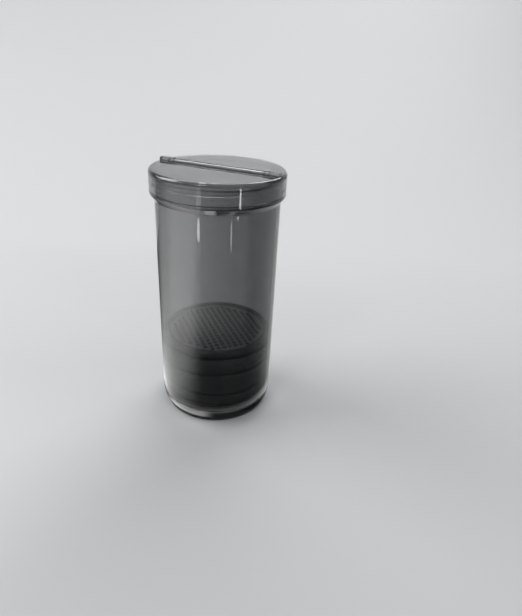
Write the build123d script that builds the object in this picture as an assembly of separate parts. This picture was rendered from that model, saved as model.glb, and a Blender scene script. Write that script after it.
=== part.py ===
from build123d import *
from math import cos, radians, sin
import os

# Cricket shaker: a tall translucent cup with a screw lid above and a screw base below.
# The foot stands on z = 0, the cup's axis is Z, and the hinge of the lid's flap runs along X.
# All sizes are in millimetres.

# Overall sizes
total_height = 182.0
cup_diameter = 86.2
wall = 1.9

# Clearances
seam = 0.3
slide_gap = 0.4
thread_gap = 0.5
hinge_gap = 0.6
pin_gap = 0.04
seal_gap = 0.1

# Both ends of a thread ridge sink into the wall over this angle, in degrees
thread_lead = 12.0

# Base: bevelled foot with a recess below, powder chamber, neck, and the mark of the moulding gate
foot_height = 10.5
foot_bevel = 2.8
foot_crown = 0.5
floor_height = 15.0
base_neck_height = 44.0
bead_rise = 13.5
bead_width = 1.8
seal_rise = 3.2
seal_width = 1.9
seal_height = 2.0
groove_depth = 0.5
gate_radius = 1.8
gate_height = 0.3

# Thread between base and cup: the ridge's root and crest are its widths there
base_pitch = 5.0
base_thread_drop = 18.0
base_neck_turns = 2.4
base_cup_turns = 1.2
base_thread_depth = 1.3
base_thread_root = 2.2
base_thread_crest = 1.0

# Cup: draft outside, flush collar under the lid, relieved from above so that its wall stays even,
# and the ledge that the sieve stands on
cup_draft = 0.4
collar_overhang = 3.3
collar_band = 1.8
collar_flare = 4.3
collar_round = 1.6
collar_fillet = 0.8
ledge_rise = 1.0
ledge_height = 2.7
ledge_width = 2.4
rim_chamfer = 0.4

# Thread between cup and lid
lid_pitch = 3.5
lid_thread_margin = 1.2
lid_skirt_turns = 0.9
lid_thread_depth = 1.3
lid_thread_root = 1.7
lid_thread_crest = 0.7

# Lid: skirt, deck, rounded edge, ledge under the flap, gasket and finger recess
lid_height = 13.7
deck_thickness = 2.0
lid_round = 2.3
rim_ledge_width = 3.0
rim_ledge_thickness = 1.6
gasket_thickness = 1.2
gasket_width = 2.9
finger_width = 22.0
finger_drop = 4.0
finger_reach = 1.2

# Flap, its hinge barrel, and the lugs and end blocks that hold the pin
barrel_radius = 2.3
lug_radius = 2.6
lug_length = 3.0
block_length = 7.0
block_gap = 0.6
block_inset = 1.9
block_chamfer = 0.7
pin_radius = 1.0
pin_inset = 0.2
bore_stop = 2.0
flap_inset = 0.6
flap_round = 1.7
scoop_width = 26.0
scoop_depth = 0.8
scoop_reach = 2.6
plug_depth = 2.4
plug_width = 1.2

# Sieve: frame with a short skirt, the perforated plate that drops into it, with ribs between its rows
# of holes, and the flat ring that lies on the plate's rim
flange_thickness = 3.0
flange_width = 3.7
flange_chamfer = 0.5
sieve_skirt_width = 1.2
mesh_thickness = 0.8
mesh_lip = 0.9
mesh_drop = 0.6
mesh_pitch = 4.3
mesh_bar = 1.1
mesh_cross_bar = 0.7
mesh_web = 0.4
mesh_rib_height = 1.1
mesh_rib_bite = 0.2
mesh_ring_width = 1.6
mesh_ring_thickness = 0.4
mesh_margin = 1.4
mesh_turn = 45.0

# Radii and heights that follow from the sizes above
cup_radius = cup_diameter / 2
cup_foot_radius = cup_radius - cup_draft
cup_bore = cup_radius - cup_draft / 2 - wall
lid_radius = cup_radius + collar_overhang
foot_radius = cup_foot_radius - foot_bevel
cup_foot = foot_height + seam
base_neck = cup_bore - thread_gap - base_thread_depth
base_bore = base_neck - wall
base_neck_top = foot_height + base_neck_height
base_thread_start = base_neck_top - base_thread_drop
ledge_foot = base_neck_top + ledge_rise
ledge_top = ledge_foot + ledge_height
sieve_foot = ledge_top + seal_gap
sieve_top = sieve_foot + flange_thickness
mesh_seat = sieve_top - mesh_drop - mesh_thickness
sieve_radius = cup_bore - slide_gap
sieve_bore = sieve_radius - flange_width
skirt_bore = lid_radius - wall
neck_radius = skirt_bore - thread_gap - lid_thread_depth
skirt_foot = total_height - lid_height
collar_top = skirt_foot - seam
collar_foot = collar_top - collar_band - collar_flare
collar_slope = collar_flare / collar_overhang
collar_lift = collar_foot + wall * (1 + collar_slope ** 2) ** 0.5
relief_outer = collar_lift + (skirt_bore - cup_radius) * collar_slope
relief_inner = collar_lift + (neck_radius - cup_radius) * collar_slope
deck_foot = total_height - deck_thickness
flap_seat = deck_foot - seam
rim_ledge_foot = flap_seat - rim_ledge_thickness
opening_radius = skirt_bore - rim_ledge_width
gasket_top = rim_ledge_foot - seal_gap
gasket_foot = gasket_top - gasket_thickness
neck_top = gasket_foot - seal_gap
lid_thread_start = collar_top + lid_thread_margin + lid_thread_root / 2
lid_neck_turns = (neck_top - collar_top - 2 * lid_thread_margin - lid_thread_root) / lid_pitch
hinge_height = total_height
block_end = lid_radius - block_inset
block_start = block_end - block_length
lug_end = block_start - block_gap
lug_start = lug_end - lug_length
half_barrel = lug_start - slide_gap
deck_edge = barrel_radius + hinge_gap
far = lid_radius + 5
above = total_height + 5


def turned(points):
    """A closed outline of radius and height points, turned about the axis."""
    outline = Polyline(*[(r, 0, z) for r, z in points], close=True)
    return revolve(make_face(outline), Axis.Z, 360)


def ring(inner, outer, foot, top):
    """A plain ring between two radii and two heights."""
    return turned([(inner, foot), (outer, foot), (outer, top), (inner, top)])


def disc(radius, foot, top):
    """A plain disc between two heights."""
    return Pos(0, 0, (foot + top) / 2) * Cylinder(radius, top - foot)


def circles(shape, radius, z):
    """The round edges of a turned shape at one radius and height."""
    round_edges = shape.edges().filter_by(GeomType.CIRCLE)
    return [e for e in round_edges if abs(e.radius - radius) < 0.01 and abs(e.center().Z - z) < 0.01]


def block(x0, x1, y0, y1, z0, z1):
    """A box between two corners."""
    size = Box(x1 - x0, y1 - y0, z1 - z0)
    return Pos((x0 + x1) / 2, (y0 + y1) / 2, (z0 + z1) / 2) * size


def rod(radius, x0, x1):
    """A round bar on the hinge's axis."""
    bar = Cylinder(radius, x1 - x0, rotation=(0, 90, 0))
    return Pos((x0 + x1) / 2, 0, hinge_height) * bar


def polar(radius, angle):
    """A plan point at a radius and an angle in degrees."""
    return (radius * cos(radians(angle)), radius * sin(radians(angle)))


def lead_out(wall_radius, depth, angle, along, foot, top):
    """What is cut off one end of a ridge, so that it sinks into the wall; along is -1 or 1."""
    tip = wall_radius + depth
    clear = tip + 1 if depth > 0 else tip - 1
    outline = Polyline(
        polar(tip, angle - along * thread_lead),
        polar(wall_radius, angle),
        polar(clear, angle + along * thread_lead / 4),
        polar(clear, angle - along * thread_lead),
        close=True,
    )
    return Pos(0, 0, foot) * extrude(make_face(outline), top - foot, dir=(0, 0, 1))


def thread(wall_radius, depth, pitch, turns, start, root, crest, bite=0.4):
    """A right-hand ridge on a round wall; a negative depth turns it inwards."""
    inside = wall_radius - bite if depth > 0 else wall_radius + bite
    tip = wall_radius + depth
    section = Polyline(
        (inside, 0, start - root / 2),
        (wall_radius, 0, start - root / 2),
        (tip, 0, start - crest / 2),
        (tip, 0, start + crest / 2),
        (wall_radius, 0, start + root / 2),
        (inside, 0, start + root / 2),
        close=True,
    )
    path = Helix(pitch, pitch * turns, wall_radius, center=(0, 0, start))
    ridge = sweep(make_face(section), path, is_frenet=True)
    end = start + pitch * turns
    reach = pitch * thread_lead / 180 + root / 2
    ridge -= lead_out(wall_radius, depth, 0, -1, start - reach, start + reach)
    ridge -= lead_out(wall_radius, depth, 360 * turns, 1, end - reach, end + reach)
    return ridge


def make_base_cup():
    """Bevelled foot, hollow below, with the powder chamber's neck above it."""
    chamber = Polyline(
        (0, 0, floor_height),
        (base_bore, 0, floor_height),
        (base_bore, 0, base_neck_top),
        (base_neck, 0, base_neck_top),
        (base_neck, 0, foot_height),
        (cup_foot_radius, 0, foot_height),
    )
    bevel = ThreePointArc(
        (cup_foot_radius, 0, foot_height),
        ((cup_foot_radius + foot_radius) / 2 + foot_crown, 0, foot_height / 2),
        (foot_radius, 0, 0),
    )
    recess = Polyline(
        (foot_radius, 0, 0),
        (foot_radius - wall, 0, 0),
        (cup_foot_radius - wall, 0, foot_height - wall),
        (base_bore, 0, foot_height - wall),
        (base_bore, 0, floor_height - wall),
        (0, 0, floor_height - wall),
        (0, 0, floor_height),
    )
    cup = revolve(make_face(chamber.edges() + [bevel] + recess.edges()), Axis.Z, 360)
    crest = base_neck + base_thread_depth
    bead_middle = foot_height + bead_rise
    bead = turned([
        (base_neck - groove_depth, bead_middle - bead_width / 2),
        (base_neck, bead_middle - bead_width / 2),
        (crest, bead_middle - bead_width / 6),
        (crest, bead_middle + bead_width / 6),
        (base_neck, bead_middle + bead_width / 2),
        (base_neck - groove_depth, bead_middle + bead_width / 2),
    ])
    ridge = thread(base_neck, base_thread_depth, base_pitch, base_neck_turns,
                   base_thread_start, base_thread_root, base_thread_crest)
    seal_foot = foot_height + seal_rise - seal_height / 2
    groove = ring(base_neck - groove_depth, cup_bore,
                  seal_foot - seal_gap, seal_foot + seal_height + seal_gap)
    gate = disc(gate_radius, floor_height - wall - gate_height, floor_height - wall)
    return cup + bead + ridge + gate - groove


def make_base_seal():
    """Square-cut rubber ring in the groove at the foot of the base's neck."""
    inner = base_neck - groove_depth + seal_gap
    seal_foot = foot_height + seal_rise - seal_height / 2
    return ring(inner, inner + seal_width, seal_foot, seal_foot + seal_height)


def make_cup_body():
    """Open tube with draft, a flush collar with its relief, a threaded neck and the sieve's ledge."""
    tube = turned([
        (cup_bore, cup_foot),
        (cup_foot_radius, cup_foot),
        (cup_radius, collar_foot),
        (lid_radius, collar_foot + collar_flare),
        (lid_radius, collar_top),
        (skirt_bore, collar_top),
        (skirt_bore, relief_outer),
        (neck_radius, relief_inner),
        (neck_radius, neck_top - rim_chamfer),
        (neck_radius - rim_chamfer, neck_top),
        (cup_bore, neck_top),
    ])
    tube = fillet(circles(tube, lid_radius, collar_foot + collar_flare), collar_round)
    tube = fillet(circles(tube, cup_radius, collar_foot), collar_fillet)
    ledge = turned([
        (cup_bore - ledge_width, ledge_top),
        (cup_bore + wall / 2, ledge_top),
        (cup_bore + wall / 2, ledge_foot),
        (cup_bore, ledge_foot),
        (cup_bore - ledge_width, ledge_foot + ledge_height / 3),
    ])
    outer_ridge = thread(neck_radius, lid_thread_depth, lid_pitch, lid_neck_turns,
                         lid_thread_start, lid_thread_root, lid_thread_crest)
    inner_ridge = thread(cup_bore, -base_thread_depth, base_pitch, base_cup_turns,
                         base_thread_start + base_pitch / 2, base_thread_root, base_thread_crest)
    return tube + ledge + outer_ridge + inner_ridge


def make_sieve_frame():
    """Flange on the cup's ledge, with a short skirt and a seat for the sieve."""
    skirt_outer = cup_bore - ledge_width - slide_gap
    skirt_inner = skirt_outer - sieve_skirt_width
    skirt_end = base_neck_top + hinge_gap
    return turned([
        (skirt_inner, skirt_end),
        (skirt_outer, skirt_end),
        (skirt_outer, sieve_foot),
        (sieve_radius, sieve_foot),
        (sieve_radius, sieve_top - flange_chamfer),
        (sieve_radius - flange_chamfer, sieve_top),
        (sieve_bore + mesh_lip, sieve_top),
        (sieve_bore + mesh_lip, mesh_seat),
        (sieve_bore, mesh_seat),
        (sieve_bore, sieve_foot),
    ])


def make_sieve_mesh():
    """Round plate with rows of holes, ribs between the rows; it drops into the frame's seat."""
    outer = sieve_bore + mesh_lip - seam
    holes_end = sieve_bore - mesh_margin
    length = mesh_pitch - mesh_cross_bar
    width = mesh_pitch - mesh_bar
    count = int(outer / mesh_pitch) + 1
    steps = range(-count, count + 1)
    places = []
    for i in steps:
        for j in steps:
            x = i * mesh_pitch
            y = j * mesh_pitch
            corner = ((abs(x) + width / 2) ** 2 + (abs(y) + length / 2) ** 2) ** 0.5
            if corner < holes_end:
                places.append(Pos(x, y))
    plate = Circle(outer) - [place * Rectangle(width, length) for place in places]
    plate = extrude(plate, mesh_web) + ring(holes_end, outer, 0, mesh_thickness)
    for i in steps:
        x = (i + 0.5) * mesh_pitch
        side = abs(x) + mesh_bar / 2
        if side < holes_end - mesh_pitch / 2:
            half = ((holes_end + mesh_rib_bite) ** 2 - side ** 2) ** 0.5
            plate += block(x - mesh_bar / 2, x + mesh_bar / 2, -half, half, 0, mesh_rib_height)
    return Pos(0, 0, mesh_seat) * Rot(0, 0, mesh_turn) * plate


def make_sieve_ring():
    """Flat ring on the plate's rim, inside the frame's seat."""
    outer = sieve_bore + mesh_lip - seam
    foot = mesh_seat + mesh_thickness
    return ring(outer - mesh_ring_width, outer, foot, foot + mesh_ring_thickness)


def make_lid_gasket():
    """Flat rubber ring between the neck's rim and the lid."""
    outer = skirt_bore - seam
    return ring(outer - gasket_width, outer, gasket_foot, gasket_top)


def hinge_ends():
    """Lugs beside the barrel and the end blocks beyond them, on both sides."""
    ends = []
    for side in (-1, 1):
        ends.append(rod(lug_radius, *sorted((side * lug_start, side * lug_end))))
        bar = block(*sorted((side * block_start, side * block_end)), -barrel_radius, barrel_radius,
                    deck_foot, hinge_height + barrel_radius)
        upper = bar.edges().filter_by(Axis.X).group_by(Axis.Z)[-1]
        ends.append(chamfer(upper, block_chamfer))
    return ends


def make_lid_ring():
    """Screw lid: skirt, front half deck, ledge for the flap, inner thread and hinge ends."""
    shell = turned([
        (0, deck_foot),
        (opening_radius, deck_foot),
        (opening_radius, rim_ledge_foot),
        (skirt_bore, rim_ledge_foot),
        (skirt_bore, skirt_foot),
        (lid_radius, skirt_foot),
        (lid_radius, total_height),
        (0, total_height),
    ])
    shell = fillet(circles(shell, lid_radius, total_height), lid_round)
    shell -= block(-far, far, lug_radius, far, flap_seat, above)
    shell -= block(-lug_start, lug_start, -deck_edge, deck_edge, flap_seat, above)
    opening = disc(opening_radius, rim_ledge_foot - 1, above)
    shell -= opening & block(-far, far, lug_radius, far, rim_ledge_foot - 1, above)
    shell += thread(skirt_bore, -lid_thread_depth, lid_pitch, lid_skirt_turns,
                    lid_thread_start + lid_pitch / 2, lid_thread_root, lid_thread_crest)
    shell += hinge_ends()
    shell -= rod(pin_radius + pin_gap, -block_end + bore_stop, block_end + 1)
    recess = ring(lid_radius - finger_reach, far, flap_seat - finger_drop, flap_seat + 1)
    shell -= recess & block(-finger_width / 2, finger_width / 2, 0, far, 0, above)
    return shell


def make_lid_flap():
    """Half-round flap with its hinge barrel, a plug rib below and a thumb scoop."""
    radius = lid_radius - flap_inset
    plate = disc(radius, deck_foot, total_height)
    plate = fillet(circles(plate, radius, total_height), flap_round)
    flap = plate - block(-far, far, -far, deck_edge, 0, above)
    flap += block(-half_barrel, half_barrel, 0, deck_edge + 1, deck_foot, total_height)
    flap += rod(barrel_radius, -half_barrel, half_barrel)
    plug_radius = opening_radius - hinge_gap
    plug_edge = deck_edge + plug_width
    plug = disc(plug_radius, deck_foot - plug_depth, deck_foot)
    plug -= block(-far, far, -far, plug_edge, 0, above)
    hollow = disc(plug_radius - plug_width, deck_foot - plug_depth, deck_foot)
    hollow -= block(-far, far, -far, plug_edge + plug_width, 0, above)
    flap += plug - hollow
    flap -= block(-scoop_width / 2, scoop_width / 2, radius - scoop_reach, far,
                  total_height - scoop_depth, above)
    return flap - rod(pin_radius + pin_gap, -far, far)


def make_hinge_pin():
    """Rod through the barrel, the lugs and both end blocks."""
    return rod(pin_radius, -block_end + bore_stop + seam, block_end - pin_inset)


pieces = {
    "base_cup": make_base_cup,
    "base_seal": make_base_seal,
    "cup_body": make_cup_body,
    "sieve_frame": make_sieve_frame,
    "sieve_mesh": make_sieve_mesh,
    "sieve_ring": make_sieve_ring,
    "lid_gasket": make_lid_gasket,
    "lid_ring": make_lid_ring,
    "lid_flap": make_lid_flap,
    "hinge_pin": make_hinge_pin,
}

os.makedirs("parts", exist_ok=True)
for name, make in pieces.items():
    export_step(make(), "parts/" + name + ".step")
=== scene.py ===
import math

import bpy
from mathutils import Matrix, Vector


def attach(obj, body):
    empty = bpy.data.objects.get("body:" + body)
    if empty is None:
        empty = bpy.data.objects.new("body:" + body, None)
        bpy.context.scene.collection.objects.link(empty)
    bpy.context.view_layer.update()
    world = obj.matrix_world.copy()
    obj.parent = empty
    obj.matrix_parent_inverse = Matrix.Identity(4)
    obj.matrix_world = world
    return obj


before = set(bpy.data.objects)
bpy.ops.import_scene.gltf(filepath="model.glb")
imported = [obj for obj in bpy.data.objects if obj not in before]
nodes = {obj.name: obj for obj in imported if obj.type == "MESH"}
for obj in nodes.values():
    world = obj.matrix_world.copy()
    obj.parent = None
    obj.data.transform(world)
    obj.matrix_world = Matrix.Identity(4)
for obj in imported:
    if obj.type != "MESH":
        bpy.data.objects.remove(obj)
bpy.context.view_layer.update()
print("frame loaded:", len(nodes), "CAD nodes")


def hexColour(code):
    # sRGB hex to the linear values that the shaders want
    channels = [int(code[i:i + 2], 16) / 255 for i in (1, 3, 5)]
    return (*(c / 12.92 if c <= 0.04045 else ((c + 0.055) / 1.055) ** 2.4 for c in channels), 1.0)


def addNode(tree, kind, settings=None, links=None):
    # settings: property or socket values; links: socket -> (node, output)
    node = tree.nodes.new(kind)
    for key, value in (settings or {}).items():
        if isinstance(key, int) or key in node.inputs:
            node.inputs[key].default_value = value
        else:
            setattr(node, key, value)
    for key, (source, output) in (links or {}).items():
        tree.links.new(source.outputs[output], node.inputs[key])
    return node


def newMaterial(name):
    material = bpy.data.materials.new(name)
    material.use_nodes = True
    material.node_tree.nodes.clear()
    return material, material.node_tree


def dress(name, material):
    mesh = nodes[name].data
    mesh.materials.clear()
    mesh.materials.append(material)


view = {
    "place": (0.15744, -0.30263, 0.25509),
    "yaw": -21.882,      # from +Y, clockwise seen from above
    "pitch": 27.537,     # looking down
    "roll": 3.027,
    "focalPixels": 501.47,
    "frameWidth": 522,
    "sensor": 36.0,
    "clipStart": 0.01,
}


def addCamera(v):
    yaw, pitch, roll = (math.radians(v[k]) for k in ("yaw", "pitch", "roll"))
    forward = Vector((math.sin(yaw) * math.cos(pitch), math.cos(yaw) * math.cos(pitch), -math.sin(pitch)))
    side = Vector((math.cos(yaw), -math.sin(yaw), 0))
    up = side.cross(forward)
    right = math.cos(roll) * side + math.sin(roll) * up
    top = math.cos(roll) * up - math.sin(roll) * side
    data = bpy.data.cameras.new("photoCamera")
    data.sensor_fit = "HORIZONTAL"
    data.sensor_width = v["sensor"]
    data.lens = v["focalPixels"] * v["sensor"] / v["frameWidth"]
    data.clip_start = v["clipStart"]
    camera = bpy.data.objects.new("photoCamera", data)
    turned = Matrix((right, top, -forward)).transposed().to_4x4()
    camera.matrix_world = Matrix.Translation(Vector(v["place"])) @ turned
    bpy.context.scene.collection.objects.link(camera)
    bpy.context.scene.camera = camera


addCamera(view)
print("camera placed")


studio = {
    "towards": -62.5,            # azimuth of the camera seen from the shaker
    "floorSize": (4.0, 2.6),     # across, and from front to back
    "floorShift": 0.30,          # the sweep begins this far behind the shaker's middle
    "sweepRise": 1.6,
    "sweepRadius": 0.9,
    "sweepSegments": 24,
    "floorColour": "#d4d5d6",
    "floorRoughness": 0.7,
    "floorSpecular": 0.25,
    "floorGrain": 900.0,         # per metre, coarser than real paper
    "floorBump": (0.04, 0.0004),
    "sky": "#e6e8ea",
    "skyStrength": 0.34,
}


def addFloor(s):
    # a paper sweep: flat under the shaker, then one wide curve up behind it
    bpy.ops.object.select_all(action="DESELECT")
    across, deep = s["floorSize"]
    bpy.ops.mesh.primitive_plane_add(size=1)
    floor = bpy.context.object
    floor.name = "floor"
    bpy.ops.object.mode_set(mode="EDIT")
    bpy.ops.transform.resize(value=(across, deep, 1))
    bpy.ops.transform.translate(value=(0, s["floorShift"] + s["sweepRadius"] - deep / 2, 0))
    bpy.ops.object.mode_set(mode="OBJECT")
    slack = 0.01      # metres, for finding the back edge by its place
    behind = max(v.co.y for v in floor.data.vertices) - slack
    for vertex in floor.data.vertices:
        vertex.select = vertex.co.y > behind
    for edge in floor.data.edges:
        edge.select = all(floor.data.vertices[i].select for i in edge.vertices)
    for face in floor.data.polygons:
        face.select = False
    bpy.ops.object.mode_set(mode="EDIT")
    bpy.ops.mesh.select_mode(type="EDGE")
    bpy.ops.mesh.extrude_edges_move(TRANSFORM_OT_translate={"value": (0, 0, s["sweepRise"])})
    bpy.ops.object.mode_set(mode="OBJECT")
    for edge in floor.data.edges:
        ends = [floor.data.vertices[i].co for i in edge.vertices]
        edge.select = all(abs(end.z) < slack and end.y > behind for end in ends)
    bpy.ops.object.mode_set(mode="EDIT")
    bpy.ops.mesh.bevel(offset=s["sweepRadius"], segments=s["sweepSegments"], profile=0.5)
    bpy.ops.mesh.select_all(action="SELECT")
    bpy.ops.transform.rotate(value=-math.radians(s["towards"] + 90), orient_axis="Z", center_override=(0, 0, 0))
    bpy.ops.object.mode_set(mode="OBJECT")
    bpy.ops.object.shade_smooth()
    # coated paper, rolled: pale and matt, with a grain that keeps the shadow soft
    material, tree = newMaterial("matt paper sweep")
    place = addNode(tree, "ShaderNodeTexCoord")
    grain = addNode(tree, "ShaderNodeTexNoise", {"Scale": s["floorGrain"], "Detail": 3.0}, {
        "Vector": (place, "Object")})
    bump = addNode(tree, "ShaderNodeBump", {
        "Strength": s["floorBump"][0], "Distance": s["floorBump"][1]}, {"Height": (grain, "Fac")})
    paper = addNode(tree, "ShaderNodeBsdfPrincipled", {
        "Base Color": hexColour(s["floorColour"]), "Roughness": s["floorRoughness"],
        "Specular IOR Level": s["floorSpecular"]}, {"Normal": (bump, "Normal")})
    addNode(tree, "ShaderNodeOutputMaterial", links={"Surface": (paper, "BSDF")})
    floor.data.materials.append(material)


def addWorld(s):
    world = bpy.data.worlds.new("studio")
    world.use_nodes = True
    back = world.node_tree.nodes["Background"]
    back.inputs["Color"].default_value = hexColour(s["sky"])
    back.inputs["Strength"].default_value = s["skyStrength"]
    bpy.context.scene.world = world


aiming = {
    "middle": (0, 0, 0.17),      # where the boxes point; a strip points level at the axis
    "stripBelow": 0.05,          # metres, a lamp narrower than this is a strip with round ends
}

lights = {
    # angle: to the right of the camera's own direction, in degrees; a Glint lights nothing, a Fill never glints
    "keySoftbox": dict(angle=-104, distance=1.10, height=0.95, size=(1.05, 0.75), power=10.0),
    "sideFill": dict(angle=80, distance=1.30, height=0.80, size=(0.70, 0.70), power=3.0),
    "backSoftbox": dict(angle=165, distance=1.10, height=1.05, size=(1.40, 0.60), power=12.0),
    "topGlint": dict(angle=0, distance=0.02, height=1.15, size=(1.70, 1.30), power=5.5),
    "deckGlint": dict(angle=180, distance=0.85, height=0.42, size=(1.20, 0.45), power=0.30),
    "edgeBox": dict(angle=-32, distance=0.45, height=0.62, size=(0.14, 0.10), power=0.38),
    "leftGlint": dict(angle=-32.5, distance=0.30, height=0.0610, size=(0.026, 0.029), power=0.0125),
    "lidGlint": dict(angle=-29, distance=0.30, height=0.102, size=(0.036, 0.044), power=0.0065),
    "rightGlint": dict(angle=33, distance=0.30, height=0.0955, size=(0.014, 0.039), power=0.0145),
    "thinGlint": dict(angle=22, distance=0.30, height=0.056, size=(0.014, 0.040), power=0.0055),
}


def addLights(table, aim):
    for name, light in table.items():
        glint = name.endswith("Glint")
        strip = light["size"][0] < aim["stripBelow"]
        data = bpy.data.lights.new(name, "AREA")
        data.shape = "ELLIPSE" if strip else "RECTANGLE"
        data.size, data.size_y = light["size"]
        data.energy = light["power"]
        lamp = bpy.data.objects.new(name, data)
        turn = math.radians(studio["towards"] + light["angle"])
        place = Vector((math.cos(turn), math.sin(turn), 0)) * light["distance"]
        place.z = light["height"]
        target = Vector((0, 0, place.z)) if strip else Vector(aim["middle"])
        lamp.location = place
        lamp.rotation_euler = (target - place).to_track_quat("-Z", "Y").to_euler()
        lamp.visible_camera = False
        lamp.visible_transmission = lamp.visible_diffuse = not glint
        lamp.visible_glossy = not name.endswith("Fill")
        bpy.context.scene.collection.objects.link(lamp)


# a glowing card on the table, black and white: painted light that shows only in the shaker's gloss, as painted
# reflections, and lights nothing
card = {
    "height": 0.0005,
    "radii": (0.041, 0.85),      # it has a hole for the foot
    "corners": 96,
    # the edge of the white part lies across this direction, and grows softer with the distance
    "whiteEdge": dict(turn=-123.8, offset=0.0152, soft=0.05, softer=0.31),
    # The brightness is the sum of these fields, and each field is the product of its smooth steps: what the step
    # runs along, where it starts and ends, and its value before and after. "angle" is in degrees to the right of
    # the camera's own direction, "turned" the same to either side, "far" in metres from the shaker's axis, and
    # "past" runs across the white edge, over which it goes from -0.5 to 0.5.
    # each field is a painted glow, and its reflection a painted highlight: white and the two glows on the tube's
    # sides, footPatch on the foot's bevel, collarBand on the collar's flare; where the card is black it paints dark
    # reflections
    "fields": {
        "blackToGrey": [("angle", 50, 120, 0.012, 0.65)],
        "white": [("past", -0.5, 0.5, 0, 1.95), ("turned", 85, 150, 1, 0.05),    # dim behind, where walls are edge on
                  ("far", 0.047, 0.0525, 0, 1), ("far", 0.56, 0.63, 1, 0.35)],
        "leftGlow": [("angle", -45, 32, 1.05, 0), ("far", 0.12, 0.225, 0, 1), ("turned", 70, 108, 1, 0)],
        "rightGlow": [("angle", 42, 64, 0.42, 0), ("far", 0.12, 0.225, 0, 1), ("turned", 70, 108, 1, 0)],
        "footPatch": [("far", 0.0416, 0.0436, 0, 3.0), ("far", 0.047, 0.0525, 1, 0),
                      ("angle", -20, -2, 1, 0), ("turned", 50, 80, 1, 0.1)],
        "collarBand": [("angle", -55, 30, 0.85, 1.20), ("angle", -62, -42, 0, 1),
                       ("far", 0.046, 0.051, 0, 1), ("far", 0.053, 0.062, 1, 0), ("turned", 70, 108, 1, 0)],
    },
}


def addGlowCard(c):
    inner, outer = c["radii"]
    bpy.ops.object.select_all(action="DESELECT")
    bpy.ops.mesh.primitive_circle_add(vertices=c["corners"], radius=inner, location=(0, 0, c["height"]))
    ring = bpy.context.object
    ring.name = "tableGlowCard"
    bpy.ops.object.mode_set(mode="EDIT")
    bpy.ops.mesh.select_all(action="SELECT")
    bpy.ops.mesh.extrude_edges_move()
    bpy.ops.transform.resize(value=(outer / inner, outer / inner, 1))
    bpy.ops.mesh.select_all(action="SELECT")
    bpy.ops.mesh.normals_make_consistent()
    bpy.ops.object.mode_set(mode="OBJECT")

    material, tree = newMaterial("glowing card, painted reflections")
    place = addNode(tree, "ShaderNodeTexCoord")
    edge = c["whiteEdge"]
    sides = []
    for turn in (0, 90, edge["turn"]):
        way = math.radians(studio["towards"] + turn)
        sides.append(addNode(tree, "ShaderNodeVectorMath", {
            "operation": "DOT_PRODUCT", 1: (math.cos(way), math.sin(way), 0)}, {0: (place, "Object")}))
    front, right, overEdge = sides
    radians = addNode(tree, "ShaderNodeMath", {"operation": "ARCTAN2"}, {0: (right, "Value"), 1: (front, "Value")})
    angle = addNode(tree, "ShaderNodeMath", {"operation": "DEGREES"}, {0: (radians, "Value")})
    turned = addNode(tree, "ShaderNodeMath", {"operation": "ABSOLUTE"}, {0: (angle, "Value")})
    far = addNode(tree, "ShaderNodeVectorMath", {"operation": "LENGTH"}, {0: (place, "Object")})
    spread = addNode(tree, "ShaderNodeMath", {
        "operation": "MULTIPLY_ADD", 1: edge["softer"], 2: edge["soft"]}, {0: (far, "Value")})
    beyond = addNode(tree, "ShaderNodeMath", {"operation": "SUBTRACT", 1: edge["offset"]}, {0: (overEdge, "Value")})
    past = addNode(tree, "ShaderNodeMath", {"operation": "DIVIDE"}, {0: (beyond, "Value"), 1: (spread, "Value")})
    measures = {"angle": angle, "turned": turned, "far": far, "past": past}

    total = None
    for steps in c["fields"].values():
        field = None
        for along, start, end, before, after in steps:
            step = addNode(tree, "ShaderNodeMapRange", {
                "interpolation_type": "SMOOTHSTEP", "From Min": start, "From Max": end,
                "To Min": before, "To Max": after}, {"Value": (measures[along], "Value")})
            field = step if field is None else addNode(
                tree, "ShaderNodeMath", {"operation": "MULTIPLY"}, {0: (field, 0), 1: (step, 0)})
        total = field if total is None else addNode(
            tree, "ShaderNodeMath", {"operation": "ADD"}, {0: (total, 0), 1: (field, 0)})
    # the card's glow: painted light, seen only in the shaker's gloss
    light = addNode(tree, "ShaderNodeEmission", links={"Strength": (total, 0)})
    addNode(tree, "ShaderNodeOutputMaterial", links={"Surface": (light, "Emission")})
    ring.data.materials.append(material)
    ring.visible_camera = ring.visible_diffuse = ring.visible_transmission = ring.visible_shadow = False


addFloor(studio)
addWorld(studio)
addLights(lights, aiming)
addGlowCard(card)
bpy.context.scene.view_settings.view_transform = "Standard"
print("studio lit")


smoke = {
    "tint": "#eceded",        # what the skin lets through
    "density": 860.0,         # a 1.9 mm wall takes off half and a little more
    "grey": "#bbbcbd",        # what the thickness lets through
    "roughness": (0.025, 0.07),
    "clear": 0.99,
    "ior": 1.53,
    "scuffLength": 0.012,     # metres between scuffed patches
    "scuffDetail": (6.0, 0.65),
    "scuffed": (0.35, 0.75),  # from untouched to worst, of the pattern's range
    "scratches": (900.0, 900.0, 55.0),   # per metre, mostly upright and coarser than real hairlines
    "scratchDetail": (3.0, 0.7),
    "scratched": (0.66, 0.74),
    "scratchDull": 0.10,      # how much rougher a scratch is
    "flowLength": 0.035,      # metres, long soft waves left by the mould
    "flowBump": (0.08, 0.0004),
    "lampTint": "#f4f4f5",
}


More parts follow.
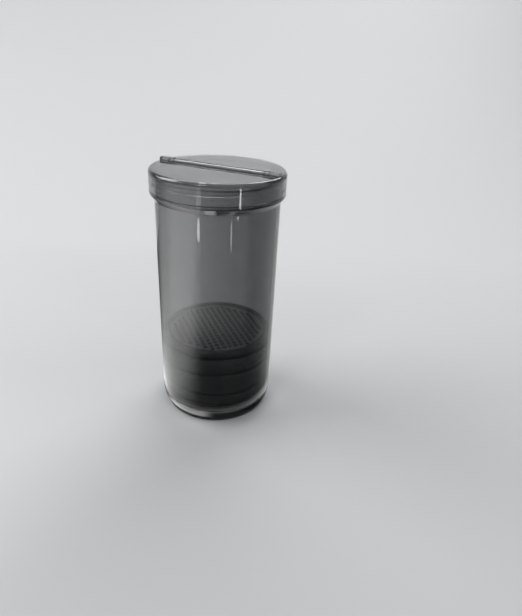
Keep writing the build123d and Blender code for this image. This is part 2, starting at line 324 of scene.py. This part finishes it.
def smokePlastic(name, look):
    # SAN, injection moulded and tinted through: glassy skin, faint flow waves, dull scuffed patches and scratches
    # from sliding in and out, dark thick edges
    material, tree = newMaterial(name)
    place = addNode(tree, "ShaderNodeTexCoord")
    scuff = addNode(tree, "ShaderNodeTexNoise", {
        "Scale": 1 / look["scuffLength"], "Detail": look["scuffDetail"][0], "Roughness": look["scuffDetail"][1]}, {
        "Vector": (place, "Object")})
    dull = addNode(tree, "ShaderNodeMapRange", {
        "From Min": look["scuffed"][0], "From Max": look["scuffed"][1],
        "To Min": look["roughness"][0], "To Max": look["roughness"][1]}, {"Value": (scuff, "Fac")})
    stretch = addNode(tree, "ShaderNodeMapping", {"Scale": look["scratches"]}, {"Vector": (place, "Object")})
    hair = addNode(tree, "ShaderNodeTexNoise", {
        "Scale": 1.0, "Detail": look["scratchDetail"][0], "Roughness": look["scratchDetail"][1]}, {
        "Vector": (stretch, "Vector")})
    scratched = addNode(tree, "ShaderNodeMapRange", {
        "From Min": look["scratched"][0], "From Max": look["scratched"][1],
        "To Min": 0.0, "To Max": look["scratchDull"]}, {"Value": (hair, "Fac")})
    worn = addNode(tree, "ShaderNodeMath", {"operation": "ADD"}, {0: (dull, "Result"), 1: (scratched, "Result")})
    flow = addNode(tree, "ShaderNodeTexNoise", {"Scale": 1 / look["flowLength"], "Detail": 1.0}, {
        "Vector": (place, "Object")})
    wave = addNode(tree, "ShaderNodeBump", {
        "Strength": look["flowBump"][0], "Distance": look["flowBump"][1]}, {"Height": (flow, "Fac")})
    body = addNode(tree, "ShaderNodeBsdfPrincipled", {
        "Base Color": hexColour(look["tint"]), "Transmission Weight": look["clear"], "IOR": look["ior"]}, {
        "Roughness": (worn, "Value"), "Normal": (wave, "Normal")})
    # lamps shine through it, so that what is inside is lit
    through = addNode(tree, "ShaderNodeBsdfTransparent", {"Color": hexColour(look["lampTint"])})
    ray = addNode(tree, "ShaderNodeLightPath")
    mix = addNode(tree, "ShaderNodeMixShader", links={
        0: (ray, "Is Shadow Ray"), 1: (body, "BSDF"), 2: (through, "BSDF")})
    smoked = addNode(tree, "ShaderNodeVolumeAbsorption", {
        "Color": hexColour(look["grey"]), "Density": look["density"]})
    addNode(tree, "ShaderNodeOutputMaterial", links={"Surface": (mix, "Shader"), "Volume": (smoked, "Volume")})
    return material


cupPlastic = smokePlastic("smoke SAN, cup", smoke)
lidPlastic = smokePlastic("smoke SAN, lid", {**smoke, "density": 420.0})     # its thicker deck is tinted less

moulded = {
    "colour": "#161617",
    "roughness": (0.32, 0.5),
    "ior": 1.49,
    "grain": 0.0009,          # metres, the texture of the mould
    "grainBump": (0.25, 0.00005),
    "rubs": 90.0,             # per metre, places that are rubbed smoother
    "rubbed": (0.3, 0.7),
}


def sparkEroded(name, look):
    # from a spark-eroded mould, or woven or pressed as dull as that: satin, finely grained, smoother where rubbed
    material, tree = newMaterial(name)
    place = addNode(tree, "ShaderNodeTexCoord")
    grain = addNode(tree, "ShaderNodeTexNoise", {"Scale": 1 / look["grain"], "Detail": 2.0}, {
        "Vector": (place, "Object")})
    bump = addNode(tree, "ShaderNodeBump", {
        "Strength": look["grainBump"][0], "Distance": look["grainBump"][1]}, {"Height": (grain, "Fac")})
    rub = addNode(tree, "ShaderNodeTexNoise", {"Scale": look["rubs"], "Detail": 4.0}, {"Vector": (place, "Object")})
    dull = addNode(tree, "ShaderNodeMapRange", {
        "From Min": look["rubbed"][0], "From Max": look["rubbed"][1],
        "To Min": look["roughness"][0], "To Max": look["roughness"][1]}, {"Value": (rub, "Fac")})
    body = addNode(tree, "ShaderNodeBsdfPrincipled", {
        "Base Color": hexColour(look["colour"]), "IOR": look["ior"]}, {
        "Roughness": (dull, "Result"), "Normal": (bump, "Normal")})
    addNode(tree, "ShaderNodeOutputMaterial", links={"Surface": (body, "BSDF")})
    return material


# the sieve's plate: mid grey and satin
sievePlastic = sparkEroded("grey nylon, moulded", {**moulded, "colour": "#7c7d7f", "roughness": (0.38, 0.55)})
# its ring: nearly black, with the most gloss of the four
ringPlastic = sparkEroded("black polypropylene, moulded", moulded)
# the gauze: dull black thread
gauzeNylon = sparkEroded("black nylon thread, woven", {**moulded, "colour": "#1c1c1d", "roughness": (0.40, 0.60)})
# seal and gasket: black with hardly any gloss
sealRubber = sparkEroded("nitrile rubber, moulded", {**moulded, "colour": "#121213", "roughness": (0.55, 0.75)})

steel = {
    "colour": "#b9b9b6",
    "roughness": (0.4, 0.62),
    "lines": (40.0, 4000.0, 4000.0),     # per metre, along the rod and across it
}


def drawnSteel(name, look):
    # stainless rod, drawn: fine lines along it, which spread its glint
    material, tree = newMaterial(name)
    place = addNode(tree, "ShaderNodeTexCoord")
    stretch = addNode(tree, "ShaderNodeMapping", {"Scale": look["lines"]}, {"Vector": (place, "Object")})
    lines = addNode(tree, "ShaderNodeTexNoise", {"Scale": 1.0, "Detail": 2.0}, {"Vector": (stretch, "Vector")})
    dull = addNode(tree, "ShaderNodeMapRange", {
        "To Min": look["roughness"][0], "To Max": look["roughness"][1]}, {"Value": (lines, "Fac")})
    body = addNode(tree, "ShaderNodeBsdfPrincipled", {
        "Base Color": hexColour(look["colour"]), "Metallic": 1.0}, {"Roughness": (dull, "Result")})
    addNode(tree, "ShaderNodeOutputMaterial", links={"Surface": (body, "BSDF")})
    return material


pinSteel = drawnSteel("stainless steel, drawn", steel)
print("materials made")


gauze = {
    "radius": 0.0368,            # its rim lies in the solid rim of the sieve's plate
    "pitch": 0.0043 / 3,         # three to each of the plate's holes, and coarser than a real one, so that it shows
    "thread": 0.00042,
    "thickness": 0.0003,
    "height": 0.06010,           # the middle of the plate's web
    "turn": 45.0,                # as the plate's rows
}


def makeGauze(g):
    bpy.ops.object.select_all(action="DESELECT")
    count = 2 * math.ceil(g["radius"] / g["pitch"]) + 1
    bpy.ops.mesh.primitive_grid_add(x_subdivisions=count, y_subdivisions=count, size=count * g["pitch"])
    net = bpy.context.object
    net.name = "sieve_gauze"
    bpy.ops.object.mode_set(mode="EDIT")
    bpy.ops.mesh.select_mode(type="FACE")
    bpy.ops.mesh.select_all(action="SELECT")
    bpy.ops.transform.rotate(value=math.radians(g["turn"]), orient_axis="Z", center_override=(0, 0, 0))
    bpy.ops.transform.translate(value=(0, 0, g["height"] - g["thickness"] / 2))
    bpy.ops.mesh.select_all(action="DESELECT")
    bpy.ops.object.mode_set(mode="OBJECT")
    for face in net.data.polygons:
        face.select = face.center.xy.length > g["radius"]
    bpy.ops.object.mode_set(mode="EDIT")
    bpy.ops.mesh.delete(type="FACE")
    bpy.ops.mesh.select_all(action="SELECT")
    bpy.ops.mesh.inset(use_individual=True, thickness=g["thread"] / 2, use_even_offset=True)
    bpy.ops.mesh.delete(type="FACE")     # the middles, which leaves the threads
    bpy.ops.object.mode_set(mode="OBJECT")
    thick = net.modifiers.new("thickness", "SOLIDIFY")
    thick.thickness = g["thickness"]
    thick.offset = 1.0
    bpy.ops.object.modifier_apply(modifier=thick.name)
    net.data.materials.append(gauzeNylon)
    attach(net, "sieve")
    return net


net = makeGauze(gauze)
print("gauze made:", len(net.data.polygons), "faces")

finish = {
    "base_cup": cupPlastic,
    "cup_body": cupPlastic,
    "lid_ring": lidPlastic,
    "lid_flap": lidPlastic,
    "sieve_frame": cupPlastic,
    "sieve_mesh": sievePlastic,
    "sieve_ring": ringPlastic,
    "base_seal": sealRubber,
    "lid_gasket": sealRubber,
    "hinge_pin": pinSteel,
}
for name, material in finish.items():
    dress(name, material)
print("materials set")
